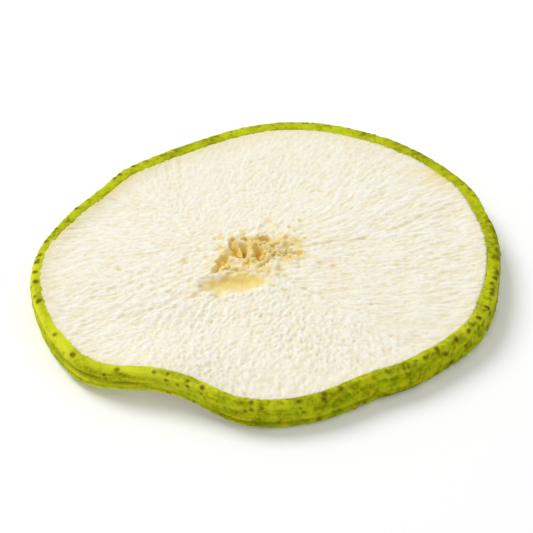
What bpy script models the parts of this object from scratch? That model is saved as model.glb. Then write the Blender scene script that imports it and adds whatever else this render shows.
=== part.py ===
"""A dried cross-section slice of a green pear, lying flat with its cut face up.

Units are metres, +Z is up and the slice rests on z = 0. A bearing is an angle in degrees,
anticlockwise from +X as seen from above. The slice is one solid: two cut faces of pale flesh
that run out to the peel, and a rounded wall of green peel between them. Drying has warped it,
so the rim lifts off the ground in two places, and has torn the seed cells of the core open.
"""

import math

import bmesh
import bpy
from mathutils import Vector

MM = 0.001

# Driving dimensions
FACE_RADIUS = 31.3 * MM  # mean radius of the flat cut, out to the middle of the peel's cut edge
PEEL_BULGE = 1.25 * MM  # how far the peel wall stands out beyond the edge of the flat cut
THICKNESS = 4.1 * MM  # at the core
WEDGE = 0.5 * MM  # the cut wasn't parallel: the rim is this much thicker on one side
WEDGE_BEARING = 330
WALL_SQUARENESS = 3.2  # exponent of the wall's rounded section: 2 is round, 4 nearly square

# Waves of the outline: order, height, bearing of a crest
OUTLINE_WAVES = (
    (1, 1.05 * MM, 62),
    (2, 1.45 * MM, 33),
    (3, 0.54 * MM, 76),
    (4, 0.35 * MM, 8),
    (5, 0.3 * MM, 58),
    (6, 0.44 * MM, 36),
    (7, 0.43 * MM, 18),
)

# Swellings of the outline, and dips where negative: bearing, height, half width in degrees
OUTLINE_SWELLS = (
    (20, -0.55 * MM, 8),
    (65, -0.45 * MM, 9),
    (90, 0.5 * MM, 9),
    (112, -0.3 * MM, 7),
    (134, 0.6 * MM, 8),
    (163, -0.45 * MM, 8),
    (188, 0.4 * MM, 12),
    (225, 1.15 * MM, 9),
    (262, 0.9 * MM, 9),
    (309, 1.0 * MM, 10),
)

# Where the warped rim lifts off the ground: bearing, height, half width in degrees
RIM_LIFTS = (
    (242, 2.05 * MM, 20),
    (70, 1.15 * MM, 36),
)
LIFT_STARTS = 0.45  # share of the way from core to rim where the lift begins
PRESSED_FLAT = 0.15 * MM  # the slice rests flat where the lift would be less than this

# The dent at the left front, where the peel has shrunk most
DENT_BEARING = 243
DENT_WIDTH = 22
DENT_THINNING = 0.7 * MM
WAIST_DEPTH = 0.45 * MM  # a crease runs along the middle of the wall there
WAIST_WIDTH = 40
WAIST_HEIGHT = 0.4  # the crease's half height, as a share of the wall's

FACE_SINK = 0.22 * MM  # the flesh sinks between core and peel as it dries
RIM_LIP = 0.1  # share of the face, next to the peel, over which it rises again

# The core: its centre, and its torn cells and hollows as
# (x, y, half length, half width, bearing of the length, depth)
CORE = Vector((-3.3 * MM, 0.5 * MM))
UPPER_HOLLOWS = (
    (-3.8 * MM, 2.5 * MM, 2.9 * MM, 1.4 * MM, 88, 1.8 * MM),
    (-6.4 * MM, -0.4 * MM, 3.0 * MM, 1.0 * MM, 64, 1.0 * MM),
    (-1.1 * MM, 1.9 * MM, 2.4 * MM, 1.05 * MM, 95, 1.5 * MM),
    (0.4 * MM, 4.6 * MM, 1.6 * MM, 1.2 * MM, 60, 1.0 * MM),
    (-3.9 * MM, -4.4 * MM, 4.6 * MM, 2.1 * MM, 5, 0.8 * MM),
    (3.6 * MM, 2.2 * MM, 1.2 * MM, 0.9 * MM, 20, 0.5 * MM),
)
LOWER_HOLLOWS = (
    (-5.2 * MM, 4.3 * MM, 2.6 * MM, 1.4 * MM, 125, 0.9 * MM),
    (-0.6 * MM, -2.2 * MM, 2.7 * MM, 1.4 * MM, 40, 1.2 * MM),
    (-7.0 * MM, -3.6 * MM, 2.2 * MM, 1.3 * MM, 80, 0.8 * MM),
    (2.2 * MM, 3.0 * MM, 2.0 * MM, 1.2 * MM, 20, 0.9 * MM),
)
HOLLOW_EDGE = 0.75  # share of a hollow's half width that its sloping side takes up
TORN_RIM = 0.16 * MM  # the flesh stands up in a torn lip round the upper hollows
TORN_RIM_REACH = 1.35  # outer edge of that lip, as a multiple of the hollow's half size

# Mesh density
FACE_CELLS = 44  # across each cut face, both ways; the rim gets four times as many
WALL_ROWS = 8
EVEN_SPACING = 0.42  # share of the rings' spacing that is even: the rest crowds them at the core

# Finishes: sRGB colour and roughness
FLESH_COLOUR = (0.96, 0.93, 0.84)
FLESH_ROUGHNESS = 0.9
PEEL_COLOUR = (0.62, 0.68, 0.14)
PEEL_ROUGHNESS = 0.6


def smooth_step(share):
    """0 below 0, 1 above 1, and an even S between them."""
    share = min(max(share, 0.0), 1.0)
    return share * share * (3 - 2 * share)


def bump(bearing, centre, half_width):
    """A smooth hump of height 1 round the rim, centred on one bearing."""
    apart = (bearing - centre + 180) % 360 - 180
    return math.exp(-((apart / half_width) ** 2))


def face_radius(bearing):
    """From the slice's centre to the edge of the cut face."""
    waves = sum(
        height * math.cos(order * math.radians(bearing - crest))
        for order, height, crest in OUTLINE_WAVES
    )
    swells = sum(height * bump(bearing, at, width) for at, height, width in OUTLINE_SWELLS)
    return FACE_RADIUS + waves + swells


def face_edge(bearing):
    """The edge of the cut face, seen from above."""
    turn = math.radians(bearing)
    return Vector((math.cos(turn), math.sin(turn))) * face_radius(bearing)


def outward(bearing):
    """The direction square to the edge, away from the flesh."""
    along = face_edge(bearing + 1) - face_edge(bearing - 1)
    return Vector((along.y, -along.x)).normalized()


def underside(bearing, share):
    """Height of the lower face, before its hollows. The middle lies flat on the ground."""
    rise = smooth_step((share - LIFT_STARTS) / (1 - LIFT_STARTS))
    lift = rise * sum(height * bump(bearing, at, width) for at, height, width in RIM_LIFTS)
    return max(lift - PRESSED_FLAT, 0.0)


def thickness(bearing, share):
    """From the lower face to the upper one, before the hollows."""
    wedge = WEDGE * share * math.cos(math.radians(bearing - WEDGE_BEARING))
    thinning = DENT_THINNING * smooth_step(share) * bump(bearing, DENT_BEARING, DENT_WIDTH)
    sink = FACE_SINK * (1 - smooth_step((share - (1 - RIM_LIP)) / RIM_LIP))
    return THICKNESS + wedge - thinning - sink


def hollow_at(place, hollow):
    """How far into one hollow a place lies: 1 on its edge, below 1 inside."""
    x, y, half_length, half_width, turn, _ = hollow
    away = place - Vector((x, y))
    turn = math.radians(turn)
    lengthways = (away.x * math.cos(turn) + away.y * math.sin(turn)) / half_length
    across = (away.y * math.cos(turn) - away.x * math.sin(turn)) / half_width
    return math.hypot(lengthways, across)


def hollow_depth(place, hollows):
    """Depth of the deepest hollow at a place."""
    return max(
        hollow[-1] * smooth_step((1 - hollow_at(place, hollow)) / HOLLOW_EDGE)
        for hollow in hollows
    )


def torn_lip(place):
    """Height of the torn flesh that stands round the upper hollows."""
    nearest = min(hollow_at(place, hollow) for hollow in UPPER_HOLLOWS)
    if nearest < 1:
        return 0.0
    return TORN_RIM * (1 - smooth_step((nearest - 1) / (TORN_RIM_REACH - 1)))


def upper_point(bearing, share):
    """A point of the upper face: share is 0 at the core and 1 at the peel."""
    place = CORE.lerp(face_edge(bearing), share)
    height = underside(bearing, share) + thickness(bearing, share)
    height += torn_lip(place) - hollow_depth(place, UPPER_HOLLOWS)
    return Vector((place.x, place.y, height))


def lower_point(bearing, share):
    """A point of the lower face, right under the upper one."""
    place = CORE.lerp(face_edge(bearing), share)
    height = underside(bearing, share) + hollow_depth(place, LOWER_HOLLOWS)
    return Vector((place.x, place.y, height))


def wall_point(bearing, down):
    """A point of the peel: down is 0 at the upper face's edge and 1 at the lower one's."""
    turn = math.pi * (0.5 - down)
    power = 2 / WALL_SQUARENESS
    out = PEEL_BULGE * math.cos(turn) ** power if 0 < down < 1 else 0.0
    up = math.copysign(abs(math.sin(turn)) ** power, turn)
    crease = WAIST_DEPTH * bump(bearing, DENT_BEARING, WAIST_WIDTH)
    out -= crease * math.exp(-((up / WAIST_HEIGHT) ** 2))
    top = upper_point(bearing, 1)
    bottom = lower_point(bearing, 1)
    middle = (top + bottom) / 2
    side = outward(bearing) * out
    return Vector((middle.x + side.x, middle.y + side.y, middle.z + up * (top.z - middle.z)))


def bearing_and_share(u, v):
    """Turns a place in the square from -1 to 1 into one in the disc, square rings into round ones."""
    ring = max(abs(u), abs(v))
    if ring == 0:
        return 0.0, 0.0
    if abs(u) >= abs(v):
        bearing = 45 * v / u + (180 if u < 0 else 0)
    else:
        bearing = 90 - 45 * u / v + (180 if v < 0 else 0)
    return bearing % 360, EVEN_SPACING * ring + (1 - EVEN_SPACING) * ring**3


def add_face(bm, point_of):
    """Adds one cut face from a square grid, and returns its edge as {vertex: bearing}."""
    made = bmesh.ops.create_grid(bm, x_segments=FACE_CELLS, y_segments=FACE_CELLS, size=1)
    rim = {}
    for vert in made["verts"]:
        bearing, share = bearing_and_share(vert.co.x, vert.co.y)
        if vert.is_boundary:
            rim[vert] = bearing
            share = 1.0
        vert.co = point_of(bearing, share)
    return rim


def add_wall(bm, rim):
    """Extrudes the upper face's edge down the wall, row by row, to the lower face's edge."""
    for row in range(1, WALL_ROWS + 1):
        edges = [e for e in bm.edges if e.verts[0] in rim and e.verts[1] in rim and e.is_boundary]
        places = {tuple(vert.co): bearing for vert, bearing in rim.items()}
        made = bmesh.ops.extrude_edge_only(bm, edges=edges)
        verts = [item for item in made["geom"] if isinstance(item, bmesh.types.BMVert)]
        rim = {vert: places[tuple(vert.co)] for vert in verts}
        for vert, bearing in rim.items():
            vert.co = wall_point(bearing, row / WALL_ROWS)


def slice_mesh():
    """The closed mesh of the slice: upper face, wall and lower face."""
    bm = bmesh.new()
    upper_rim = add_face(bm, upper_point)
    add_wall(bm, upper_rim)
    wall_and_upper = set(bm.faces)
    add_face(bm, lower_point)
    bmesh.ops.remove_doubles(bm, verts=bm.verts, dist=0.001 * MM)
    bmesh.ops.recalc_face_normals(bm, faces=bm.faces)
    upper_count = FACE_CELLS * FACE_CELLS
    bm.faces.ensure_lookup_table()
    for index, face in enumerate(bm.faces):
        face.smooth = True
        face.material_index = int(face in wall_and_upper and index >= upper_count)
    mesh = bpy.data.meshes.new("pear_slice")
    bm.to_mesh(mesh)
    bm.free()
    return mesh


def centre_on_origin(mesh):
    """Moves the mesh so that its outline is centred on the origin, seen from above."""
    for axis in (0, 1):
        across = [vert.co[axis] for vert in mesh.vertices]
        middle = (min(across) + max(across)) / 2
        for vert in mesh.vertices:
            vert.co[axis] -= middle


def linear(srgb):
    """An sRGB colour as the linear one that a shader takes."""
    return [c / 12.92 if c <= 0.04045 else ((c + 0.055) / 1.055) ** 2.4 for c in srgb]


def finish(name, srgb, roughness):
    """A plain Principled material."""
    material = bpy.data.materials.new(name)
    material.use_nodes = True
    shader = material.node_tree.nodes["Principled BSDF"]
    shader.inputs["Base Color"].default_value = (*linear(srgb), 1)
    shader.inputs["Roughness"].default_value = roughness
    shader.inputs["Metallic"].default_value = 0
    return material


def main():
    for old in list(bpy.data.objects):
        bpy.data.objects.remove(old)
    mesh = slice_mesh()
    centre_on_origin(mesh)
    mesh.materials.append(finish("dried_flesh", FLESH_COLOUR, FLESH_ROUGHNESS))
    mesh.materials.append(finish("green_peel", PEEL_COLOUR, PEEL_ROUGHNESS))
    pear_slice = bpy.data.objects.new("pear_slice", mesh)
    bpy.context.scene.collection.objects.link(pear_slice)


main()
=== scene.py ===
# %% [markdown]
# # A slice of freeze-dried pear
#
# One crosswise slice of a green pear, frozen and then dried in a vacuum. The ice left the flesh
# without melting, so the slice kept its size: it is chalk-white, light and brittle, with fine
# wrinkles that run out from a torn, tan core, and the peel is a green band round its edge.
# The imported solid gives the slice's size and place. This lesson makes the surface that the eye
# sees: flesh, peel and the grit of the core, each as a real mesh, and then their finishes.

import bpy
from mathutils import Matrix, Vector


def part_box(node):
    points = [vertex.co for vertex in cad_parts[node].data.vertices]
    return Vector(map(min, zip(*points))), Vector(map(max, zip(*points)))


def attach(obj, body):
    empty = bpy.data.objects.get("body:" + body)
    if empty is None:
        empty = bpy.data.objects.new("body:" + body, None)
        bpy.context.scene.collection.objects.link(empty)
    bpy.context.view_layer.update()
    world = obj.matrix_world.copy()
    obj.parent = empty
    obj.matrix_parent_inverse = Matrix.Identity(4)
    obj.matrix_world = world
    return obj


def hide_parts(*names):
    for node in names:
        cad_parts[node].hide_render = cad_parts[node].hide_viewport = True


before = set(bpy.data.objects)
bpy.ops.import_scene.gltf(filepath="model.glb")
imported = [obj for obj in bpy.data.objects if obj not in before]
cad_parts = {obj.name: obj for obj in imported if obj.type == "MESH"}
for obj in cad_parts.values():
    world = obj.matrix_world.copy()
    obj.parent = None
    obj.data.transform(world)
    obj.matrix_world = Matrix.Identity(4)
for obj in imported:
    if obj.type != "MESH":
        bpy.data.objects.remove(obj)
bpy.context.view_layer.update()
print("nodes in the frame:", sorted(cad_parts))

# %% The libraries
import itertools
import math

import bmesh
import bpy
import numpy as np
from mathutils import Vector

MM = 0.001  # Blender works in metres here, and this script thinks in millimetres
print("Blender", bpy.app.version_string)

# %% [markdown]
# ## The form of the slice
#
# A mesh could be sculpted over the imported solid, but the solid was itself worked out from a few
# sizes, so the same sizes give the same form here at any fineness. Each place on a cut face has a
# bearing, in degrees anticlockwise from +X, and a share: 0 at the core and 1 at the peel. numpy
# works out all the places at once, which keeps a hundred thousand of them quick.

# %% Sizes of the slice, in millimetres and degrees
CUT_RADIUS = 31.3  # of the flat cut, before the waves of its outline
PEEL_BULGE = 1.25  # how far the wall bulges past the edge of the cut
THICKNESS = 4.1  # at the middle, before the faces sank
WEDGE, WEDGE_BEARING = 0.5, 330  # the two cuts weren't quite parallel
WALL_SQUARENESS = 3.2  # 2 would give the wall a round cross-section, and more is squarer
OUTLINE_WAVES = (
    # order, height, bearing of a crest
    (1, 1.05, 62),
    (2, 1.45, 33),
    (3, 0.54, 76),
    (4, 0.35, 8),
    (5, 0.3, 58),
    (6, 0.44, 36),
    (7, 0.43, 18),
)
OUTLINE_SWELLS = (
    # bearing, height, half width in degrees: a dip where the height is negative
    (20, -0.55, 8),
    (65, -0.45, 9),
    (90, 0.5, 9),
    (112, -0.3, 7),
    (134, 0.6, 8),
    (163, -0.45, 8),
    (188, 0.4, 12),
    (225, 1.15, 9),
    (262, 0.9, 9),
    (309, 1.0, 10),
)
RIM_LIFTS = ((242, 2.05, 20), (70, 1.15, 36))  # bearing, height, half width
LIFT_STARTS = 0.45  # the share where the warp begins
PRESSED_FLAT = 0.15  # of the warp, so that the slice rests on a broad flat
DENT_BEARING, DENT_WIDTH, DENT_THINNING = 243, 22, 0.7
WAIST_DEPTH, WAIST_WIDTH, WAIST_HEIGHT = 0.45, 40, 0.4  # the wall is drawn in at the dent
FACE_SINK, RIM_LIP = 0.22, 0.1  # the face sank by this, but for its last tenth before the edge
CORE = np.array([-3.3, 0.5])  # it lies a little left of the slice's middle
print("a slice about", 2 * (CUT_RADIUS + PEEL_BULGE), "mm across and", THICKNESS, "mm thick")

# %% Two curves that everything below is shaped with
def smooth_step(share):
    """0 below 0, 1 above 1, and an even S between them."""
    share = np.clip(share, 0, 1)
    return share * share * (3 - 2 * share)


def hump(bearing, centre, half_width):
    """A smooth hump of height 1 round the rim, centred on one bearing."""
    apart = (bearing - centre + 180) % 360 - 180
    return np.exp(-((apart / half_width) ** 2))


print("one half width off its centre, a hump is", hump(10, 0, 10).round(2), "high")

# %% The outline and the two cut faces
def cut_edge(bearing):
    """The edge of the flat cut, seen from above."""
    turn = np.radians(bearing)
    radius = CUT_RADIUS + sum(
        height * np.cos(order * (turn - math.radians(crest)))
        for order, height, crest in OUTLINE_WAVES
    )
    radius = radius + sum(size * hump(bearing, at, width) for at, size, width in OUTLINE_SWELLS)
    return np.column_stack([radius * np.cos(turn), radius * np.sin(turn)])


def outward(bearing):
    """The direction square to the edge, away from the flesh."""
    along = cut_edge(bearing + 0.5) - cut_edge(bearing - 0.5)
    square = np.column_stack([along[:, 1], -along[:, 0]])
    return square / np.linalg.norm(square, axis=1, keepdims=True)


def underside(bearing, share):
    """Height of the lower face above the ground."""
    rise = smooth_step((share - LIFT_STARTS) / (1 - LIFT_STARTS))
    lift = rise * sum(height * hump(bearing, at, width) for at, height, width in RIM_LIFTS)
    return np.maximum(lift - PRESSED_FLAT, 0)


def thickness(bearing, share):
    """From the lower face to the upper one, before the core's hollows."""
    wedge = WEDGE * share * np.cos(np.radians(bearing - WEDGE_BEARING))
    thinning = DENT_THINNING * smooth_step(share) * hump(bearing, DENT_BEARING, DENT_WIDTH)
    sink = FACE_SINK * (1 - smooth_step((share - (1 - RIM_LIP)) / RIM_LIP))
    return THICKNESS + wedge - thinning - sink


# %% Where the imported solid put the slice
all_round = np.linspace(0, 360, 720, endpoint=False)
rim_seen_from_above = cut_edge(all_round) + PEEL_BULGE * outward(all_round)
low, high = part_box("pear_slice")
box_centre = np.array([(low.x + high.x) / 2, (low.y + high.y) / 2]) / MM
own_centre = (rim_seen_from_above.min(axis=0) + rim_seen_from_above.max(axis=0)) / 2
PLACE = box_centre - own_centre
print("outline", np.round(np.ptp(rim_seen_from_above, axis=0), 1), "mm, moved by", PLACE.round(2))

# %% [markdown]
# ## Noise with a size in millimetres
#
# Every wrinkle, pit and grain below starts from one thing: a smooth random field whose bumps have
# a stated size. Blender's own noise functions take one point at a time. A table of random numbers,
# read at many points at once and blended between neighbours, gives the same kind of field faster.
# The places are turned first, so that the table's square lattice doesn't show in the flesh.

# %% A table of random numbers, read smoothly
TABLE_SIDE = 64
table = np.random.default_rng(20).uniform(-1, 1, (TABLE_SIDE,) * 3)
TURNED = np.array([[0.36, 0.48, -0.8], [-0.8, 0.6, 0.0], [0.48, 0.64, 0.6]])


def noise(places, size, seed):
    """A smooth random field from -1 to 1 at places (n x 3, in mm), with bumps of that size."""
    grid = places @ TURNED.T / size + 11.7 * seed
    corner = np.floor(grid).astype(int)
    between = grid - corner
    between = between * between * (3 - 2 * between)
    total = np.zeros(len(places))
    for step in itertools.product((0, 1), repeat=3):
        weight = np.where(step, between, 1 - between).prod(axis=1)
        i, j, k = ((corner + step) % TABLE_SIDE).T
        total += weight * table[i, j, k]
    return total


row_of_places = np.column_stack([all_round, 0 * all_round, 0 * all_round])
print("noise along a row has a spread of", noise(row_of_places, 1.0, 1).std().round(2))

# %% [markdown]
# ## The fibres
#
# The cut flesh shows short ridges, about a third of a millimetre wide and one or two long. They
# follow the vessels, which run out from the core, but the knife has dragged them all a little one
# way. Stretched noise would give them one direction everywhere. Here the noise is averaged along
# each place's own direction, as paint is when a brush drags it, so the ridges bend as the flesh
# does. A ridge has no front or back end, so directions are blended as doubled angles.

# %% Direction and height of the fibres
FIBRE_WIDTH, FIBRE_LENGTH = 0.36, 1.4
FIBRE_HEIGHT = 0.105
KNIFE_DRAG, DRAG_BEARING = 0.7, 42  # how strong it is, where the vessels' own pull is 1
WANDER, WANDER_SIZE = 0.35, 6.0  # in radians, and over how many millimetres
STEPS_ALONG = 9  # how many places each average takes


def fibre_direction(x, y):
    """Unit direction of the fibres as complex numbers, x real and y imaginary."""
    away = (x - CORE[0]) + 1j * (y - CORE[1])
    away = away / np.maximum(abs(away), 0.01)
    flat = np.column_stack([x, y, 0 * x])
    wander = WANDER * noise(flat, WANDER_SIZE, 3)
    doubled = away**2 + KNIFE_DRAG * np.exp(2j * math.radians(DRAG_BEARING))
    return np.exp(1j * (np.angle(doubled) / 2 + wander))


def fibres(x, y, seed, width=FIBRE_WIDTH, length=FIBRE_LENGTH):
    """Height of the fibre ridges, about -1 to 1."""
    along = fibre_direction(x, y)
    total = np.zeros(len(x))
    for step in np.linspace(-length / 2, length / 2, STEPS_ALONG):
        places = np.column_stack([x + step * along.real, y + step * along.imag, 0 * x])
        total += noise(places, width, seed)
    return total / total.std() / 2


at_right = fibre_direction(np.array([CUT_RADIUS]), np.array([0.0]))
print("at the right of the rim the fibres run at", np.degrees(np.angle(at_right)).round(), "degrees")

# %% [markdown]
# ## The torn core
#
# Five seed cells met at the middle of the pear. The cut tore them open and drying pulled them
# wider, so each face has a few pits with ragged edges. The upper face also shows one broad shallow
# cell that kept its smooth wall. Modelling each pit by hand would take long and couldn't be
# changed later. Here each hollow is an oval with a depth, and its edge is made ragged by reading
# the oval at places that noise has pushed aside.

# %% The hollows of both faces
UPPER_HOLLOWS = (
    # x, y, half length, half width, bearing of the length, depth
    (-4.6, 2.6, 2.6, 0.85, 102, 1.4),
    (-3.2, 2.6, 2.7, 0.9, 78, 1.8),
    (-6.5, -0.5, 3.0, 0.85, 62, 1.0),
    (-1.1, 1.9, 2.4, 0.95, 95, 1.4),
    (-0.1, 5.2, 1.2, 0.8, 50, 1.0),
    (-4.5, -5.4, 5.4, 2.7, 9, 0.8),
    (1.4, 3.5, 0.9, 0.6, 30, 0.7),
    (1.0, 0.9, 0.9, 0.5, 80, 0.6),
    (3.9, 1.7, 1.0, 0.6, 15, 0.6),
    (-3.8, 0.9, 1.1, 0.85, 0, 1.8),
)
LOWER_HOLLOWS = (
    (-5.2, 4.3, 2.6, 1.4, 125, 0.9),
    (-0.6, -2.2, 2.7, 1.4, 40, 1.2),
    (-7.0, -3.6, 2.2, 1.3, 80, 0.8),
    (2.2, 3.0, 2.0, 1.2, 20, 0.9),
)
HOLLOW_EDGE = 0.75  # the share of a hollow that its sloping side takes
SMOOTH_CELL = UPPER_HOLLOWS[5]  # broad and shallow
RAGGED, RAG_SIZE = 0.5, 1.2  # how far noise pushes an edge, as a share of the noise's size
TORN_RIM, TORN_RIM_REACH = 0.16, 1.35  # height of the torn lip, and how far out it goes


def hollow_at(x, y, hollow):
    """How far into one hollow a place lies: 1 on its edge, below 1 inside."""
    at_x, at_y, half_length, half_width, turn, _ = hollow
    turn = math.radians(turn)
    lengthways = ((x - at_x) * math.cos(turn) + (y - at_y) * math.sin(turn)) / half_length
    across = ((y - at_y) * math.cos(turn) - (x - at_x) * math.sin(turn)) / half_width
    return np.hypot(lengthways, across)


def torn_core(x, y, hollows, seed):
    """Depth of the hollows at each place, and the height of the torn lip round them."""
    flat = np.column_stack([x, y, 0 * x])
    for size in (RAG_SIZE, RAG_SIZE / 2):
        x = x + RAGGED * size * noise(flat, size, seed)
        y = y + RAGGED * size * noise(flat, size, seed + 1)
    depth, nearest = np.zeros(len(x)), np.full(len(x), 9.0)
    for hollow in hollows:
        inside = hollow_at(x, y, hollow)
        depth = np.maximum(depth, hollow[-1] * smooth_step((1 - inside) / HOLLOW_EDGE))
        nearest = np.minimum(nearest, inside)
    lip = TORN_RIM * (1 - smooth_step((nearest - 1) / (TORN_RIM_REACH - 1))) * (nearest > 1)
    return depth, lip


print(len(UPPER_HOLLOWS), "hollows above, the deepest", max(hollow[-1] for hollow in UPPER_HOLLOWS), "mm")

# %% [markdown]
# ## Marks on the flesh
#
# Dull tan flecks lie round the core and a few further out, and two fine cracks follow vessels
# towards the right of the rim. Noise could scatter them, but there are few and each has its place,
# so they are lists of places. A fleck is a soft spot, and a crack is a soft line between points,
# which is painted darker as the shade in it.

# %% Flecks and cracks
FLECKS = (
    # x, y, size
    (-11.7, 0.0, 0.9),
    (-10.2, -7.6, 0.8),
    (-13.4, -7.3, 0.6),
    (-1.6, -11.2, 0.5),
    (2.5, -6.9, 0.6),
    (5.2, -6.5, 0.6),
    (4.7, 9.7, 0.6),
    (3.2, 8.1, 0.5),
    (7.5, -0.5, 0.7),
    (0.3, 9.5, 0.7),
    (-7.5, 5.4, 0.5),
    (-7.0, -7.7, 0.8),
    (-8.0, -4.0, 0.9),
    (-8.9, -5.7, 1.6),
    (-7.7, -4.9, 1.6),
    (0.8, -6.0, 0.6),
    (2.6, -3.7, 0.6),
    (9.4, -1.2, 0.6),
    (18.4, -1.2, 0.6),
    (15.7, -7.7, 0.5),
    (14.5, -10.2, 0.4),
    (11.9, -18.5, 0.4),
    (12.5, -21.7, 0.4),
    (7.7, 16.9, 0.5),
    (-21.0, -1.5, 0.6),
)
CRACKS = (
    # from, to, half width
    ((5.0, 3.5), (13.9, 4.9), 0.28),
    ((17.1, 6.8), (23.1, 10.8), 0.22),
    ((23.1, 10.8), (25.9, 12.2), 0.26),
)
FLECK_SPREAD = 0.6  # radius of a fleck as a share of its size
CRACK_WANDER, CRACK_WANDER_SIZE = 0.5, 2.0


def flecks(x, y):
    """How tan each place is from the flecks, 0 to 1."""
    amount = np.zeros(len(x))
    for at_x, at_y, size in FLECKS:
        away = (x - at_x) ** 2 + (y - at_y) ** 2
        amount = np.maximum(amount, np.exp(-(away / (FLECK_SPREAD * size) ** 2)))
    return amount


def cracks(x, y):
    """How deep each place lies in a crack, 0 to 1. A crack comes and goes along its length."""
    flat = np.column_stack([x, y, 0 * x])
    y = y + CRACK_WANDER * noise(flat, CRACK_WANDER_SIZE, 6)
    amount, faint = np.zeros(len(x)), 0.75 + 0.4 * noise(flat, 2.5, 8)
    for start, end, half_width in CRACKS:
        run = np.subtract(end, start)
        share = ((x - start[0]) * run[0] + (y - start[1]) * run[1]) / (run @ run)
        share = np.clip(share, 0, 1)
        away = np.hypot(x - start[0] - share * run[0], y - start[1] - share * run[1])
        amount = np.maximum(amount, np.exp(-((away / half_width) ** 2)))
    return amount * faint


print(len(FLECKS), "flecks and", len(CRACKS), "stretches of crack")

# %% [markdown]
# ## The mesh of the flesh
#
# A round face could be rings of points about the core, but rings crowd at the centre and thin out
# at the rim. A square grid bent into a disc keeps its cells nearly even, and its edge is one even
# loop of points that the wall can be joined to. The lower face is seen less, so it has half as
# many cells each way, and its edge meets every second point of the upper one.

# %% A square grid bent into a disc
UPPER_CELLS = 280
EVEN_SPACING = 0.75  # share of the rings' spacing that is even: the rest crowds them at the core


def disc_grid(cells):
    """Bearings and shares of the grid's points, its square faces and its edge loop."""
    line = np.linspace(-1, 1, cells + 1)
    v, u = (part.ravel() for part in np.meshgrid(line, line, indexing="ij"))
    ring = np.maximum(abs(u), abs(v))
    longer, shorter = np.where(abs(u) >= abs(v), u, v), np.where(abs(u) >= abs(v), v, u)
    slant = 45 * np.divide(shorter, longer, out=np.zeros_like(u), where=longer != 0)
    bearing = np.where(abs(u) >= abs(v), slant + 180 * (u < 0), 90 - slant + 180 * (v < 0)) % 360
    share = EVEN_SPACING * ring + (1 - EVEN_SPACING) * ring**3
    first = (np.arange(cells)[:, None] * (cells + 1) + np.arange(cells)).ravel()
    faces = np.column_stack([first, first + 1, first + cells + 2, first + cells + 1])
    edge = np.flatnonzero(ring == 1)
    return bearing, share, faces, edge[np.argsort(bearing[edge])]


print("upper face:", UPPER_CELLS**2, "cells, about", round(2 * CUT_RADIUS / UPPER_CELLS, 2), "mm wide")

# %% Where the flesh ends under the peel
PEEL_ON_CUT = 0.18  # least width of the green on the cut
WIDER_GREEN = (
    # bearing, how much wider, half width in degrees
    (88, 1.25, 48),
    (52, 0.3, 26),
    (118, 0.35, 14),
    (10, 0.7, 28),
    (150, 0.6, 18),
    (342, 0.5, 10),
    (220, 0.5, 10),
)
TUCKED = 0.15  # how far the flesh reaches under the peel


def peel_on_cut(bearing):
    """Width of the green on the flat cut. The knife met the skin at a slant, so it varies."""
    return PEEL_ON_CUT + sum(more * hump(bearing, at, width) for at, more, width in WIDER_GREEN)


def flesh_place(bearing, share):
    """Place of a point of a face, whose share is 1 where the flesh ends under the peel."""
    edge = cut_edge(bearing) - (peel_on_cut(bearing) - TUCKED)[:, None] * outward(bearing)
    return CORE + share[:, None] * (edge - CORE)


green_width = peel_on_cut(all_round)
print("the green on the cut is", green_width.min().round(2), "to", green_width.max().round(2), "mm wide")

# %% [markdown]
# ## The relief of a cut face
#
# When the ice left the cells, it left fine ridges, a crinkle and grain between them and, at the
# core, loose crumbs about a millimetre wide. A bump in the material could imitate them, but a bump
# has no outline and throws no shadow, so here the points of the mesh themselves are moved. The
# same fields also give each point four marks, from 0 to 1, that the finish reads as colours. Two
# of them are painted light and shade: crest lightens the crests and darkens the troughs, and deep
# darkens the deepest pits.

# %% Ridges and grain
WIDE_RIDGE, LONG_RIDGE = 0.8, 2.4  # a second set of ridges, coarser than the fibres
CRINKLE_SIZE, GRAIN_SIZE = 0.55, 0.38


def ridges_and_grain(x, y, seed):
    """Heights of the ridges and of the grain. The flesh at the sides is combed, the rest grainy."""
    flat = np.column_stack([x, y, 0 * x])
    combed = smooth_step(0.4 + abs(x + 3) / 22 - abs(y) / 36 + 0.35 * noise(flat, 8.0, seed + 5))
    ridges = (0.25 + 0.4 * combed) * fibres(x, y, seed + 3)
    crinkle = 0.45 - abs(noise(flat, CRINKLE_SIZE, seed + 7)) * 1.6
    ridges += 0.2 * combed * fibres(x, y, seed + 4, WIDE_RIDGE, LONG_RIDGE) + 0.6 * crinkle
    grain = (1.0 - 0.3 * combed - y / 110) * noise(flat, GRAIN_SIZE, seed + 8)
    return ridges, grain


# %% Crumbs, and the smooth cell among them
CRUMBS, CRUMBS_REACH = (-0.9, 2.0), 4.6  # middle and radius of the crumbly flesh at the core
CRUMB_SIZE, CRUMB_HEIGHT = 1.15, 0.6
SKIRT, SKIRT_REACH = (-3.4, -2.2), (5.4, 3.0)  # tan flesh between the pits and the smooth cell
# Painted light and shade: the smooth cell's wall is painted paler towards its front, which the lamp
# lights, and tanner at its back, in the ridge's shade.
CELL_LIT_FROM, CELL_LIT_SPAN = -4.2, 2.6  # the cell's wall pales from this y, over this distance


def crumbs(x, y, away, seed):
    """How high and how creased the crumbs are, and how crumbly the flesh is there."""
    flat = np.column_stack([x, y, 0 * x])
    crumbly = 1 - smooth_step((away - CRUMBS_REACH) / 3 + 0.9 * noise(flat, 1.5, seed + 2))
    crumb = abs(noise(flat, CRUMB_SIZE, seed + 6)) + 0.5 * abs(noise(flat, CRUMB_SIZE / 2, seed + 9))
    # crease is also partly painted shade: the gaps between crumbs are painted tanner, over the core's own
    # tan.
    crease = 1 - smooth_step(crumb / 0.4)
    return crumb, crease, crumbly


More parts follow.
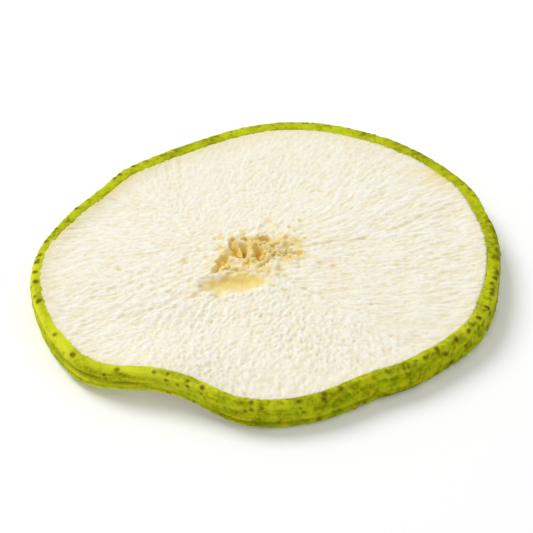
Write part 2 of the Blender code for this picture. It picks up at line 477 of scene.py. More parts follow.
def smooth_cell(x, y, seed):
    """The smooth cell, its front painted paler as lit, and the tan skirt of flesh round it."""
    flat = np.column_stack([x, y, 0 * x])
    cell = smooth_step((1.15 - hollow_at(x, y, SMOOTH_CELL)) / 0.2)
    # Painted light: the cell's front is painted paler, so its back stays tanner as shade.
    paler = cell * smooth_step((CELL_LIT_FROM - y) / CELL_LIT_SPAN)
    skirt = np.hypot((x - SKIRT[0]) / SKIRT_REACH[0], (y - SKIRT[1]) / SKIRT_REACH[1])
    skirt = 0.5 * smooth_step(1.9 - 1.6 * skirt + 0.6 * noise(flat, 0.8, seed + 12))
    return cell, paler, skirt


# %% The relief and the marks of one face
SWELL_SIZE, SWELL_HEIGHT = 7.0, 0.14  # broad swells, because no dried slice is quite flat
CRACK_DEPTH, FLECK_DEPTH = 0.25, 0.18
BROWN_RIM, BROWNEST_RIM = 1.3, (140, 50)  # how far in the rim browned; bearing and half width
SMUDGE, SMUDGE_REACH = (38, 4), 1.2  # a tan smudge at the far right: bearing, half width, reach


def face_relief(x, y, bearing, share, hollows, seed):
    """Relief of one face in mm, and its marks, each 0 to 1: crest, painted light on the crests and shade
    in the troughs; tan; browned; and deep, painted shade in the pits.
    """
    upper = hollows is UPPER_HOLLOWS
    flat = np.column_stack([x, y, 0 * x])
    from_rim = (1 - share) * CUT_RADIUS
    away = np.hypot(x - CRUMBS[0], 1.2 * (y - CRUMBS[1]))
    depth, lip = torn_core(x, y, hollows, seed)
    # deep paints shade: the deepest parts of the pits are painted brown.
    pit, deep = smooth_step(depth / 0.4), smooth_step((depth - 0.8) / 0.8)
    cell, paler, skirt = smooth_cell(x, y, seed) if upper else (1, 0, 0)
    smooth = pit * cell

    crumb, crease, crumbly = crumbs(x, y, away, seed)
    ridges, grain = ridges_and_grain(x, y, seed)
    strength = 1.15 + 0.4 * noise(flat, 9.0, seed + 9) - y / 80 + x / 250
    relief = FIBRE_HEIGHT * (ridges + grain) * strength * (1 - 0.6 * smooth) + lip - depth
    relief += CRUMB_HEIGHT * (crumb - 0.3) * crumbly * (1 - 0.85 * smooth)
    relief += SWELL_HEIGHT * noise(flat, SWELL_SIZE, seed + 7) * (1 - smooth_step((share - 0.9) / 0.1))

    browned = np.exp(-from_rim / BROWN_RIM) * (0.3 + 0.7 * hump(bearing, *BROWNEST_RIM))
    smudge = 0
    if upper:
        fleck, crack = flecks(x, y), cracks(x, y)
        spots = fleck * (1.3 - abs(noise(flat, 0.5, seed + 9)))
        # Painted shade: the cracks are painted darker as the shade in them; the flecks are the flesh's
        # own tan.
        browned = np.maximum(browned, np.maximum(spots, 0.8 * crack))
        smudge = 1.1 * hump(bearing, *SMUDGE) * np.exp(-from_rim / SMUDGE_REACH)
        relief -= CRACK_DEPTH * crack + FLECK_DEPTH * fleck
    core = smooth_step(1.7 - away / CRUMBS_REACH + 0.9 * noise(flat, 0.8, seed + 10))
    core = np.maximum(core, skirt)  # all the flesh that is tan, round the pits and in the skirt
    # Part of the tan is painted shade: the creases between crumbs are painted tanner, and the smooth
    # cell's back tanner than its lit front.
    tan = np.clip(core * (0.8 + 0.5 * crease) + 0.95 * pit * (1 - 0.45 * paler) + smudge, 0, 1)
    # The first mark is painted light and shade: lighter on the crests of the ridges and grain, darker and
    # yellower in the troughs. The last, deep, is painted shade in the pits.
    marks = np.column_stack([0.5 + 0.4 * (ridges + 0.4 * grain), tan, browned, deep])
    return relief, np.clip(marks, 0, 1)


# %% Both faces
UPPER_SEED, LOWER_SEED = 5, 31
LOWER_RISE = 0.06  # the lower face's mean height over its underside: higher relief is pressed flat


def upper_face(bearing, share):
    """Points of the upper face and their marks."""
    place = flesh_place(bearing, share)
    relief, marks = face_relief(*place.T, bearing, share, UPPER_HOLLOWS, UPPER_SEED)
    height = underside(bearing, share) + thickness(bearing, share) + relief
    return np.column_stack([place, height]), marks


def lower_face(bearing, share):
    """Points of the lower face and their marks. Its relief never goes below the ground."""
    place = flesh_place(bearing, share)
    relief, marks = face_relief(*place.T, bearing, share, LOWER_HOLLOWS, LOWER_SEED)
    height = underside(bearing, share) + np.maximum(LOWER_RISE - relief, 0.0)
    return np.column_stack([place, height]), marks


ring_height = upper_face(all_round, np.full(len(all_round), 0.5))[0][:, 2]
low_spot, high_spot = ring_height.min().round(2), ring_height.max().round(2)
print("halfway out, the upper face is", low_spot, "to", high_spot, "mm above the ground")


# %% A helper that makes a piece from points in millimetres
def add_piece(name, points, faces, marks):
    """A smooth-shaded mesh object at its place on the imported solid, with marks as a colour."""
    points = np.column_stack([points[:, :2] + PLACE, points[:, 2]]) * MM
    mesh = bpy.data.meshes.new(name)
    mesh.from_pydata(points.tolist(), [], [list(map(int, face)) for face in faces])
    mesh.validate()
    mesh.shade_smooth()
    layer = mesh.color_attributes.new("marks", "FLOAT_COLOR", "POINT")
    layer.data.foreach_set("color", marks.astype(np.float32).ravel())
    piece = bpy.data.objects.new(name, mesh)
    bpy.context.scene.collection.objects.link(piece)
    triangles = sum(len(face) - 2 for face in faces)
    print(f"{name}: {len(points)} points, {triangles} triangles")
    return piece


# %% The flesh as one closed mesh
def flesh_mesh():
    """Both faces and the narrow wall that joins their edges: points, faces and marks."""
    bearing, share, upper_faces, upper_edge = disc_grid(UPPER_CELLS)
    upper_points, upper_marks = upper_face(bearing, share)
    bearing, share, lower_faces, lower_edge = disc_grid(UPPER_CELLS // 2)
    lower_points, lower_marks = lower_face(bearing, share)
    start = len(upper_points)
    lower_faces = lower_faces[:, ::-1] + start
    coarse = lower_edge + start
    fine = upper_edge
    wall = []
    for k, corner in enumerate(coarse):
        after = coarse[(k + 1) % len(coarse)]
        a, b, c = fine[2 * k], fine[2 * k + 1], fine[(2 * k + 2) % len(fine)]
        wall += [(a, corner, b), (b, corner, after), (b, after, c)]
    points = np.vstack([upper_points, lower_points])
    faces = [*upper_faces.tolist(), *lower_faces.tolist(), *wall]
    return points, faces, np.vstack([upper_marks, lower_marks])


pear_flesh = add_piece("pear_flesh", *flesh_mesh())

# %% [markdown]
# ## The peel
#
# Pear peel is a tough waxy skin with a little green flesh behind it. Drying drew the flesh in, so
# the peel stands a hair proud of the cut and curls over it, bulges at the side and, where the
# slice shrank most, has buckled into creases that run along the wall. A strip bent round a curve
# could make it, but the wall changes in height, bulge and creasing all the way round. So its
# cross-section is drawn once, as a closed loop, and swept by formula at over a thousand bearings.

# %% The cross-section of the peel
PEEL_SECTORS = 1080
WALL_ROWS = 34
LIP_HEIGHT = 0.1  # how far the peel stands proud of the cut
LIP_RISE = 0.5  # the share of its width on the cut over which it rises to that
EDGE_SUNK = 0.15  # its inner edge dips into the flesh, so that no gap shows
ring_out = np.array([-1.0, -0.94, -0.8, -0.6, -0.4, -0.2])  # as shares of its width on the cut
turns = np.linspace(90, -90, WALL_ROWS + 1)
wall_out = PEEL_BULGE * np.maximum(np.cos(np.radians(turns)), 0) ** (2 / WALL_SQUARENESS)
wall_up = np.sign(turns) * abs(np.sin(np.radians(turns))) ** (2 / WALL_SQUARENESS)
section_out = np.concatenate([ring_out, wall_out, ring_out[::-1]])
section_up = np.concatenate([np.ones(len(ring_out)), wall_up, -np.ones(len(ring_out))])
section_lip = smooth_step((section_out + 1) / LIP_RISE) * smooth_step((abs(section_up) - 0.6) / 0.35)
section_lip = np.where(section_out < 0, smooth_step((section_out + 1) / LIP_RISE), section_lip)
section_sunk = np.where(section_out < -0.9, -EDGE_SUNK, 0)
wall_steps = np.hypot(np.diff(wall_out), np.diff(wall_up) * THICKNESS / 2)
wall_run = np.concatenate([[0], np.cumsum(wall_steps)])
section_run = np.concatenate([ring_out, wall_run, wall_run[-1] - ring_out[::-1]])
print(len(section_out), "points round the peel's cross-section")

# %% Lenticels: the pores of the skin, as small dark dots
dots = np.random.default_rng(4)
LIP_DOTS, WALL_DOTS = 54, 420
DOT_EDGE = 0.35  # the share of a dot's radius that is fully dark
dot_bearing = dots.uniform(0, 360, LIP_DOTS + WALL_DOTS)
dot_run = np.concatenate([dots.normal(0.6, 0.15, LIP_DOTS), dots.uniform(1.0, 5.5, WALL_DOTS)])
dot_size = np.concatenate([dots.uniform(0.25, 0.5, LIP_DOTS), dots.uniform(0.14, 0.42, WALL_DOTS)])
dot_dark = np.concatenate([dots.uniform(0.8, 1, LIP_DOTS), dots.uniform(0.1, 1, WALL_DOTS) ** 1.7])


def lenticels(bearing, run):
    """How dark the dots make each place, 0 to 1. Run is the distance down from the cut's edge."""
    spots = np.zeros(len(run))
    arc = math.tau * CUT_RADIUS / 360
    for at, level, size, dark in zip(dot_bearing, dot_run, dot_size, dot_dark):
        along = ((bearing - at + 180) % 360 - 180) * arc
        near = abs(along) < 2 * size
        apart = np.hypot(along[near], run[near] - level)
        spots[near] = np.maximum(spots[near], dark * (1 - smooth_step(apart / size - DOT_EDGE)))
    return spots


print(len(dot_size), "lenticels, the widest", round(2 * dot_size.max(), 2), "mm across")

# %% Creases and wrinkles of the wall
CREASES = (
    # height on the wall, depth, how far it wanders, middle bearing, half width in degrees
    (-0.12, 0.3, 0.12, 230, 34),
    (0.35, 0.14, 0.2, 222, 26),
    (0.1, 0.12, 0.16, 240, 24),
    (0.6, 0.08, 0.16, 244, 22),
    (-0.45, 0.1, 0.12, 226, 20),
    (-0.5, 0.2, 0.1, 262, 32),
    (-0.4, 0.1, 0.15, 290, 30),
    (0.1, 0.08, 0.2, 110, 40),
    (-0.3, 0.1, 0.2, 20, 34),
)
CREASE_WIDTH, FOLD_ABOVE = 0.09, 0.19  # as shares of half the wall's height


def wall_creases(bearing, up, around):
    """How deep the creases are, in mm, and how high the folds that stand above them."""
    creased, folds = np.zeros(len(up)), np.zeros(len(up))
    for height, depth, wander, at, width in CREASES:
        line = height + wander * noise(around, 5.0, 7 + at)
        here = depth * hump(bearing, at, width)
        creased += here * np.exp(-(((up - line) / CREASE_WIDTH) ** 2))
        folds += here * np.exp(-(((up - line - FOLD_ABOVE) / CREASE_WIDTH) ** 2))
    return creased, folds


def skin_relief(places):
    """Pebbles of the dried skin, and wrinkles, which are long and run round the wall."""
    pebble = noise(places, 0.8, 1) + 0.6 * noise(places, 0.4, 2)
    wrinkle = noise(places / (7, 7, 0.5), 1.0, 9) + 0.6 * noise(places / (3, 3, 0.35), 1.0, 10)
    return pebble, wrinkle


print(len(CREASES), "creases, the deepest", max(crease[1] for crease in CREASES), "mm")

# %% How pale and how mottled the peel is, with light painted on its lit parts
# Painted light: the left stretch, which faces the lamp, and the lip at the right are painted paler, as
# lit.
LIT_LEFT, LIT_RIGHT = (220, 38), (328, 28)  # bearing and half width of the two paler stretches


def peel_tones(bearing, up, inner, places, wrinkle, folds):
    """The marks pale and mottled. Pale is painted light on the lip, the folds, the wrinkle crests and
    most of all the lit left; mottled is the skin's own blotches, painted lighter on the left and on the
    wrinkle crests.
    """
    on_left, on_right = hump(bearing, *LIT_LEFT), hump(bearing, *LIT_RIGHT)
    # Painted light: the lip's top, the lit stretches, the wrinkle crests and the folds above the creases
    # are painted paler.
    pale = 0.03 + 0.3 * smooth_step((up - 0.5) / 0.4) * (1 - 0.6 * on_left) + 0.42 * on_left
    pale = pale + 0.3 * smooth_step((up - 0.4) / 0.5) * on_right
    pale = pale + 0.6 * np.maximum(wrinkle, 0) * (0.3 + 1.5 * on_left) + 2.5 * folds
    pale = pale + 0.1 * (inner > 0.15)
    uneven = (1 - 0.6 * on_left) * (1 - 0.5 * (inner > 0))
    mottle = 0.55 + uneven * (0.4 * noise(places, 1.5, 4) + 0.5 * noise(places, 0.55, 5))
    # Painted light: the left and the wrinkle crests are painted lighter.
    mottle = mottle + 0.2 * on_left + (0.2 + 0.2 * on_left) * wrinkle
    return pale, mottle


# %% The peel as one closed band
PEBBLE_HEIGHT, WRINKLE_HEIGHT, DOT_HEIGHT = 0.09, 0.08, 0.06
WAVE, RIPPLE = (1.7, 0.28), (0.7, 0.14)  # size and height of the waves of the peel's inner edge
# Painted shade: the creases are painted darker brown, the deeper the darker.
CREASE_SHADE = 2.4  # how much of the crease's brown a millimetre of depth brings


def peel_mesh():
    """The cross-section swept round the edge: points, faces and marks."""
    rows, sectors = len(section_out), PEEL_SECTORS
    bearing = np.repeat(np.linspace(0, 360, sectors, endpoint=False), rows)
    sections = (section_out, section_up, section_lip, section_sunk, section_run)
    out, up, lip, sunk, run = (np.tile(section, sectors) for section in sections)
    edge, side = cut_edge(bearing), outward(bearing)
    on_cut = peel_on_cut(bearing)
    lip = lip * np.clip(0.3 + 0.6 * on_cut, 0, 1)
    out = np.where(out < 0, out * on_cut, out)
    full = np.ones(len(bearing))
    bottom = underside(bearing, full)
    half = thickness(bearing, full) / 2
    middle = bottom + half
    plain = np.column_stack([edge + out[:, None] * side, middle + up * half])
    around = np.column_stack([edge, 0 * up])

    on_wall = smooth_step((out - 0.1) / 0.6)
    dent = hump(bearing, DENT_BEARING, WAIST_WIDTH)
    out = out - on_wall * WAIST_DEPTH * dent * np.exp(-((up / WAIST_HEIGHT) ** 2))
    inner = np.clip(-out / on_cut, 0, 1)
    out = out + inner * (WAVE[1] * noise(around, WAVE[0], 2) + RIPPLE[1] * noise(around, RIPPLE[0], 3))
    creased, folds = wall_creases(bearing, up, around)
    spots = lenticels(bearing, run)
    pebble, wrinkle = skin_relief(plain)
    skin = PEBBLE_HEIGHT * pebble + WRINKLE_HEIGHT * wrinkle + DOT_HEIGHT * spots
    out = out + on_wall * (skin - creased + 0.5 * folds)

    rise = 0.035 * noise(plain, 1.1, 6) + 0.02 * noise(plain, 0.45, 8)
    height = middle + up * (half + LIP_HEIGHT * lip * (up > 0)) + np.sign(up) * sunk
    height = height + (up > 0) * lip * (rise + 0.03 * spots)
    height = np.maximum(height, bottom + 0.02 * (up < 0))
    points = np.column_stack([edge + out[:, None] * side, height])
    pale, mottle = peel_tones(bearing, up, inner, plain, wrinkle, folds)
    # The second mark is painted light, and the last is painted shade in the creases.
    marks = np.column_stack([spots, pale, mottle, CREASE_SHADE * creased])

    first = np.arange(sectors)[:, None] * rows + np.arange(rows)
    right = np.roll(first, -1, axis=0)
    below, right_below = np.roll(first, -1, axis=1), np.roll(right, -1, axis=1)
    faces = np.stack([first, below, right_below, right], axis=-1).reshape(-1, 4)
    return points, faces.tolist(), np.clip(marks, 0, 1)


pear_peel = add_piece("pear_peel", *peel_mesh())

# %% [markdown]
# ## The grit of the core
#
# Round the seed cells a pear has stone cells, tiny and hard, that stay as sandy grit when the soft
# flesh dries away from them. Here they cling together in crumbs, each a lumpy ball half a
# millimetre to one and a half across. They could be scattered as instances, but real joined meshes
# keep their shape in every file the slice is saved to. One ball is made, and copies of it are
# turned, squashed and roughened by noise.

# %% Where the grit lies
GRIT_TRIES = 300  # places drawn: a grain stays where the flesh is torn or in the crumb field
GRIT_CENTRE, GRIT_SPREAD = (-1.0, 1.6), (3.2, 2.6)
CRUMB_FIELD, CRUMB_REACH = (1.4, 1.9), 2.1  # grit lies thick here, to the right of the pits
GRAIN_LEAST, GRAIN_MOST = 0.26, 0.52  # radius, before each is stretched and roughened
SUNK = 0.25  # how far a grain's middle lies below the flesh, as a share of its radius
LUMPY, LUMP_SIZE = 0.5, 0.9  # noise that roughens the ball, which has a radius of 1


def ball():
    """Points and faces of a small round ball of triangles."""
    bm = bmesh.new()
    bmesh.ops.create_icosphere(bm, subdivisions=2, radius=1)
    points = np.array([vert.co[:] for vert in bm.verts])
    faces = np.array([[vert.index for vert in face.verts] for face in bm.faces])
    bm.free()
    return points, faces


def grit_mesh():
    """Grains on the torn lips and in the crumb field: points, faces and marks."""
    random = np.random.default_rng(12)
    points, faces = ball()
    x = random.normal(GRIT_CENTRE[0], GRIT_SPREAD[0], GRIT_TRIES)
    y = random.normal(GRIT_CENTRE[1], GRIT_SPREAD[1], GRIT_TRIES)
    depth, lip = torn_core(x, y, UPPER_HOLLOWS, UPPER_SEED)
    in_field = np.hypot(x - CRUMB_FIELD[0], y - CRUMB_FIELD[1]) < CRUMB_REACH
    size = random.uniform(GRAIN_LEAST, GRAIN_MOST, GRIT_TRIES)
    ground = THICKNESS - FACE_SINK - depth
    all_points, all_faces, all_marks = [], [], []
    for k in np.flatnonzero((lip > 0.03) | in_field):
        turned, _ = np.linalg.qr(random.normal(size=(3, 3)))
        grain = points * random.uniform(0.7, 1.3, 3) @ turned.T
        grain = grain * (1 + LUMPY * noise(points + 7 * k, LUMP_SIZE, 2))[:, None] * size[k]
        all_faces.append(faces + len(points) * len(all_points))
        all_points.append(grain + (x[k], y[k], ground[k] - SUNK * size[k]))
        # Each grain has its own random tan, and is painted tanner towards its foot as shade.
        tan = np.clip(0.35 * random.random() + 0.4 - 0.4 * grain[:, 2] / size[k], 0, 1)
        all_marks.append(np.column_stack([0 * tan, tan, 0 * tan, 0 * tan]))
    print(len(all_points), "grains")
    return np.vstack(all_points), np.vstack(all_faces).tolist(), np.vstack(all_marks)


core_grit = add_piece("core_grit", *grit_mesh())

# %% [markdown]
# ## Finishes
#
# A finish is a small network of shader nodes. Colours are picked as sRGB hex, as an eye sees them
# on a screen, and one function turns them to the linear numbers that a shader needs. One more
# function adds a node, sets it and joins it to others. Each pattern's scale comes from a real size:
# Blender's noise at scale 1 has features about a metre across, so a size in metres is one over it.

# %% Helpers for colours and nodes
def colour(hex_code):
    """An sRGB hex colour as linear red, green, blue and a full alpha."""
    srgb = [int(hex_code[i : i + 2], 16) / 255 for i in (1, 3, 5)]
    return [c / 12.92 if c <= 0.04045 else ((c + 0.055) / 1.055) ** 2.4 for c in srgb] + [1]


def new_finish(name, **settings):
    """A material with a Principled shader, whose sockets take the settings."""
    material = bpy.data.materials.new(name)
    material.use_nodes = True
    shader = material.node_tree.nodes["Principled BSDF"]
    for socket, value in settings.items():
        shader.inputs[socket.replace("_", " ")].default_value = value
    print("finish:", name)
    return material, shader


def add_node(material, kind, settings=(), inputs=()):
    """Adds a node. Of each input, the value is a number, a colour or an output socket to link."""
    node = material.node_tree.nodes.new(kind)
    for name, value in dict(settings).items():
        setattr(node, name, value)
    for name, value in dict(inputs).items():
        if isinstance(value, bpy.types.NodeSocket):
            material.node_tree.links.new(value, node.inputs[name])
        else:
            node.inputs[name].default_value = value
    return node


def pattern_scale(size_mm):
    """The noise scale whose features are that many millimetres across."""
    return 1 / (size_mm * MM)


# A Mix node keeps its two colours in inputs 6 and 7, and the mixed colour in output 2
COLOUR_MIX = {"data_type": "RGBA"}
print("a middle grey on the screen is this to a shader:", round(colour("#808080")[0], 3))

# %% [markdown]
# ### Freeze-dried flesh
#
# What is left of the flesh is a sponge of dry cell walls, which is cellulose with sugar: IOR about
# 1.5, no metal, and so full of air that it scatters nearly all light and shows no gloss. To the
# eye that is chalk. The fibre crests are painted a lighter cream white and the troughs a little
# yellower and darker, as painted light and shade, and the deepest pits are painted brown as shade.
# Tan is where the core and the vessels browned before freezing.
# One colour ramp could do for the whole, but the core would then be as tan as any trough. So each
# colour lies over the last like a coat of paint, as thick as the mark for it says.

# %% The flesh finish
# Painted light and shade: the crest colour lights the ridge crests, the trough colour shades the troughs,
# and the core's brown shades the deepest pits. The browned and tan colours are the flesh's own.
FLESH_CREST_LIT, FLESH_TROUGH_SHADE = "#FBF6E8", "#F1E7C5"
FLESH_BROWNED, CORE_TAN, PIT_SHADE_BROWN = "#E6D596", "#F3DA86", "#D8B018"
PORE_SIZE = 0.3  # real pores are finer: this is as fine as shows


def dried_flesh():
    """Chalky cream flesh, with painted light and shade on its crests, troughs and deepest pits, its
    browned and tan coats and fine pores.
    """
    material, shader = new_finish(
        "freeze_dried_flesh",
        Roughness=0.92,
        IOR=1.5,
        Specular_IOR_Level=0.12,
        Subsurface_Weight=0.25,
        Subsurface_Scale=0.8 * MM,
        Subsurface_Radius=(1, 0.7, 0.3),
    )
    where = add_node(material, "ShaderNodeTexCoord").outputs["Object"]
    marks = add_node(material, "ShaderNodeVertexColor", {"layer_name": "marks"})
    parts = add_node(material, "ShaderNodeSeparateColor", inputs={"Color": marks.outputs["Color"]})
    pores = add_node(
        material,
        "ShaderNodeTexNoise",
        inputs={"Vector": where, "Scale": pattern_scale(PORE_SIZE), "Detail": 3, "Roughness": 0.6},
    )
    # Painted light and shade: the pores and the crest mark make the crests lighter and the troughs darker
    # and yellower.
    crest = add_node(
        material,
        "ShaderNodeMath",
        {"operation": "MULTIPLY_ADD"},
        {0: pores.outputs["Fac"], 1: 0.3, 2: parts.outputs["Red"]},
    )
    height = add_node(
        material,
        "ShaderNodeMapRange",
        inputs={"Value": crest.outputs[0], "From Min": 0.25, "From Max": 0.85},
    )
    tint = colour(FLESH_TROUGH_SHADE)
    # The first coat paints light on the crests, and the last paints shade in the deepest pits.
    coats = (
        (height.outputs["Result"], FLESH_CREST_LIT),
        (parts.outputs["Blue"], FLESH_BROWNED),
        (parts.outputs["Green"], CORE_TAN),
        (marks.outputs["Alpha"], PIT_SHADE_BROWN),
    )
    for amount, coat in coats:
        inputs = {"Factor": amount, 6: tint, 7: colour(coat)}
        tint = add_node(material, "ShaderNodeMix", COLOUR_MIX, inputs).outputs[2]
    bump = add_node(
        material,
        "ShaderNodeBump",
        inputs={"Height": pores.outputs["Fac"], "Strength": 0.8, "Distance": 0.08 * MM},
    )
    material.node_tree.links.new(tint, shader.inputs["Base Color"])
    material.node_tree.links.new(bump.outputs["Normal"], shader.inputs["Normal"])
    return material


pear_flesh.data.materials.append(dried_flesh())

# %% [markdown]
# ### Dried peel
#
# The skin is a waxy cuticle over green cells, IOR about 1.45. Fresh, it shines. Dried, the wax has
# dulled and wrinkled, so it is satin at most: mid roughness and a weak highlight. Its green is
# yellower in patches a millimetre or so wide and darker in the pores. The lip, the folds and the lit
# left are painted paler as light, and the creases are painted darker as shade. The patches and the
# fine grain come from noise, and the rest from marks.

# %% The peel finish
PEEL_GREEN, PEEL_YELLOW = "#A4BE04", "#C6C302"
# Painted light and shade: the pale colour is painted on the lit parts, and the crease brown in the shade
# of the creases.
PEEL_DARK, PEEL_LIT_PALE = "#7B8102", "#D9DE2C"
LENTICEL_BROWN, CREASE_SHADE_BROWN = "#6A5A12", "#827C06"
SKIN_GRAIN, RIPE_PATCH = 0.4, 1.3  # the skin's cells are finer: this grain is as fine as shows


def dried_peel():
    """Satin green skin, with coats of painted light on the lip, folds and lit side, painted shade in the
    creases, and dark dots.
    """
    material, shader = new_finish(
        "dried_waxy_peel", Roughness=0.6, IOR=1.45, Specular_IOR_Level=0.03
    )
    where = add_node(material, "ShaderNodeTexCoord").outputs["Object"]
    marks = add_node(material, "ShaderNodeVertexColor", {"layer_name": "marks"})
    parts = add_node(material, "ShaderNodeSeparateColor", inputs={"Color": marks.outputs["Color"]})
    grain = add_node(
        material,
        "ShaderNodeTexNoise",
        inputs={"Vector": where, "Scale": pattern_scale(SKIN_GRAIN), "Detail": 3, "Roughness": 0.7},
    )
    blotch = add_node(
        material,
        "ShaderNodeMath",
        {"operation": "MULTIPLY_ADD"},
        {0: grain.outputs["Fac"], 1: 1.5, 2: parts.outputs["Blue"]},
    )
    shade = add_node(
        material,
        "ShaderNodeMapRange",
        inputs={"Value": blotch.outputs[0], "From Min": 0.75, "From Max": 1.65},
    )
    patch = add_node(
        material,
        "ShaderNodeTexNoise",
        inputs={"Vector": where, "Scale": pattern_scale(RIPE_PATCH), "Detail": 2},
    )
    ripe = add_node(
        material,
        "ShaderNodeMapRange",
        inputs={"Value": patch.outputs["Fac"], "From Min": 0.32, "From Max": 0.68},
    )
    inputs = {"Factor": ripe.outputs["Result"], 6: colour(PEEL_GREEN), 7: colour(PEEL_YELLOW)}
    skin = add_node(material, "ShaderNodeMix", COLOUR_MIX, inputs).outputs[2]
    inputs = {"Factor": shade.outputs["Result"], 6: colour(PEEL_DARK), 7: skin}
    tint = add_node(material, "ShaderNodeMix", COLOUR_MIX, inputs).outputs[2]
    paleness = add_node(
        material,
        "ShaderNodeMath",
        {"operation": "MULTIPLY"},
        {0: parts.outputs["Green"], 1: shade.outputs["Result"]},
    )
    # The pale coat is painted light, and the crease coat is painted shade.
    coats = (
        (paleness.outputs[0], PEEL_LIT_PALE),
        (marks.outputs["Alpha"], CREASE_SHADE_BROWN),
        (parts.outputs["Red"], LENTICEL_BROWN),
    )
    for amount, coat in coats:
        inputs = {"Factor": amount, 6: tint, 7: colour(coat)}
        tint = add_node(material, "ShaderNodeMix", COLOUR_MIX, inputs).outputs[2]
    bump = add_node(
        material,
        "ShaderNodeBump",
        inputs={"Height": grain.outputs["Fac"], "Strength": 0.9, "Distance": 0.1 * MM},
    )
    material.node_tree.links.new(tint, shader.inputs["Base Color"])
    material.node_tree.links.new(bump.outputs["Normal"], shader.inputs["Normal"])
    return material


pear_peel.data.materials.append(dried_peel())

# %% [markdown]
# ### Stone-cell grit
#
# The grit is woody, a shade warmer than the flesh, and dry: IOR about 1.5 and no metal. To the eye
# it is fine sand. It needs the flesh's chalky surface with each grain its own tint and painted shade
# at its foot, which the marks already hold, so a second flesh finish with warmer colours is enough.

# %% The grit finish
# The tan colour is each grain's own tint and also painted shade at its foot.
GRIT_CREAM, GRIT_PALE, GRIT_TAN_AND_SHADE = "#F4D68A", "#FBE8B4", "#E8BE5C"
GRIT_GRAIN = 0.2  # the roughness of a grain, drawn as coarse as it needs to show


def stone_cells():
    """Cream and tan grains, each painted darker towards its foot as shade."""
    material, shader = new_finish(
        "stone_cell_grit",
        Roughness=0.9,
        IOR=1.5,
        Specular_IOR_Level=0.12,
        Subsurface_Weight=0.4,
        Subsurface_Scale=0.8 * MM,
        Subsurface_Radius=(1, 0.7, 0.3),
    )
    marks = add_node(material, "ShaderNodeVertexColor", {"layer_name": "marks"})
    parts = add_node(material, "ShaderNodeSeparateColor", inputs={"Color": marks.outputs["Color"]})
    where = add_node(material, "ShaderNodeTexCoord").outputs["Object"]
    grain = add_node(
        material,
        "ShaderNodeTexNoise",
        inputs={"Vector": where, "Scale": pattern_scale(GRIT_GRAIN), "Detail": 2},
    )
    tint = colour(GRIT_CREAM)
    for amount, coat in ((grain.outputs["Fac"], GRIT_PALE), (parts.outputs["Green"], GRIT_TAN_AND_SHADE)):
        inputs = {"Factor": amount, 6: tint, 7: colour(coat)}
        tint = add_node(material, "ShaderNodeMix", COLOUR_MIX, inputs).outputs[2]
    bump = add_node(
        material,
        "ShaderNodeBump",
        inputs={"Height": grain.outputs["Fac"], "Strength": 0.5, "Distance": 0.04 * MM},
    )
    material.node_tree.links.new(tint, shader.inputs["Base Color"])
    material.node_tree.links.new(bump.outputs["Normal"], shader.inputs["Normal"])
    return material


core_grit.data.materials.append(stone_cells())

# %% [markdown]
# ## The pieces on the imported part
#
# The three pieces together stand for the one imported solid, which stays for collision. All ride on
# the one body.

# %% Riding on the body
for piece, slot in ((pear_flesh, "flesh"), (pear_peel, "peel"), (core_grit, "core")):
    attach(piece, "root")
    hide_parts("pear_slice")
    print(piece.name, "stands for the slice's", slot)

# %% [markdown]
# ## Floor, light and camera
#
# A pale floor under a bright, even sky keeps the whites white and the shadows faint. One large
# soft lamp stands high behind and to the left, so the fibres and the core's pits show by their
# shading, and the wall that faces the camera is a shade darker than the cut. A lit backdrop with
# several lamps would do as well, but one lamp and a white sky are easier to match to a picture.

# %% The floor
FLOOR_HALF = 0.8  # metres
FLOOR_DROP = 0.05  # it lies a hair lower than the ground, so that the two faces don't fight
FLOOR_GLOW = 0.09  # lifts the floor to the white of paper


def pale_floor():
    """A square of matt white, which isn't part of the slice."""
    half = FLOOR_HALF
    mesh = bpy.data.meshes.new("floor")
    corners = [(-half, -half, 0), (half, -half, 0), (half, half, 0), (-half, half, 0)]
    mesh.from_pydata(corners, [], [(0, 1, 2, 3)])
    floor = bpy.data.objects.new("floor", mesh)
    bpy.context.scene.collection.objects.link(floor)
    material, _ = new_finish(
        "pale_floor",
        Base_Color=colour("#FAFAFA"),
        Roughness=0.9,
        Emission_Color=colour("#FFFFFF"),
        Emission_Strength=FLOOR_GLOW,
    )
    mesh.materials.append(material)
    return floor


floor = pale_floor()
floor.location.z = -FLOOR_DROP * MM
print("floor", 2 * FLOOR_HALF, "m wide")

# %% The light
SKY_STRENGTH = 0.56
LAMP_DISTANCE, LAMP_BEARING, LAMP_ELEVATION = 0.9, 142, 50  # metres and degrees
LAMP_SIZE, LAMP_POWER = 0.54, 4.86  # metres and watts

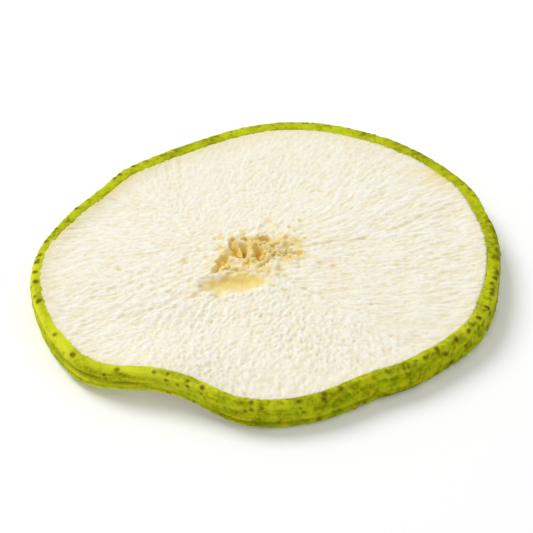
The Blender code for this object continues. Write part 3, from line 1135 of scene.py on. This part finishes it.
world = bpy.data.worlds.new("studio")
world.use_nodes = True
world.node_tree.nodes["Background"].inputs["Color"].default_value = (1, 1, 1, 1)
world.node_tree.nodes["Background"].inputs["Strength"].default_value = SKY_STRENGTH
bpy.context.scene.world = world


def direction(bearing, elevation):
    """The unit direction of a bearing and an elevation, in degrees."""
    bearing, elevation = math.radians(bearing), math.radians(elevation)
    flat = math.cos(elevation)
    return np.array([flat * math.cos(bearing), flat * math.sin(bearing), math.sin(elevation)])


def aim(thing, place, target):
    """Puts a lamp or a camera at a place, looking at the target."""
    thing.location = place
    toward = thing.location - Vector(target)
    thing.rotation_euler = toward.to_track_quat("Z", "Y").to_euler()


lamp_data = bpy.data.lights.new("lamp", "AREA")
lamp_data.shape = "DISK"
lamp_data.size = LAMP_SIZE
lamp_data.energy = LAMP_POWER
lamp = bpy.data.objects.new("lamp", lamp_data)
bpy.context.scene.collection.objects.link(lamp)
aim(lamp, direction(LAMP_BEARING, LAMP_ELEVATION) * LAMP_DISTANCE, (0, 0, 0))
print("lamp at", [round(value, 2) for value in lamp.location], "m")

# %% The camera
CAMERA_ELEVATION, CAMERA_BEARING = 37.5, 270
CAMERA_DISTANCE = 0.4  # metres
SLICE_SHARE = 0.88  # of the picture's width
SENSOR = 36  # millimetres
LOOK_IN_FRONT = 0.5  # of the slice's middle, to centre its outline with the wall in the picture

slice_width = (high.x - low.x) / SLICE_SHARE
camera_data = bpy.data.cameras.new("camera")
camera_data.sensor_width = SENSOR
camera_data.lens = SENSOR * CAMERA_DISTANCE / slice_width
camera = bpy.data.objects.new("camera", camera_data)
bpy.context.scene.collection.objects.link(camera)
look_at = (0, -LOOK_IN_FRONT * MM, (low.z + high.z) / 2)
toward_camera = direction(CAMERA_BEARING, CAMERA_ELEVATION)
aim(camera, toward_camera * CAMERA_DISTANCE + np.array(look_at), look_at)
bpy.context.scene.camera = camera
bpy.context.scene.view_settings.view_transform = "Standard"  # colours come out as they were picked
print("lens", round(camera_data.lens), "mm")
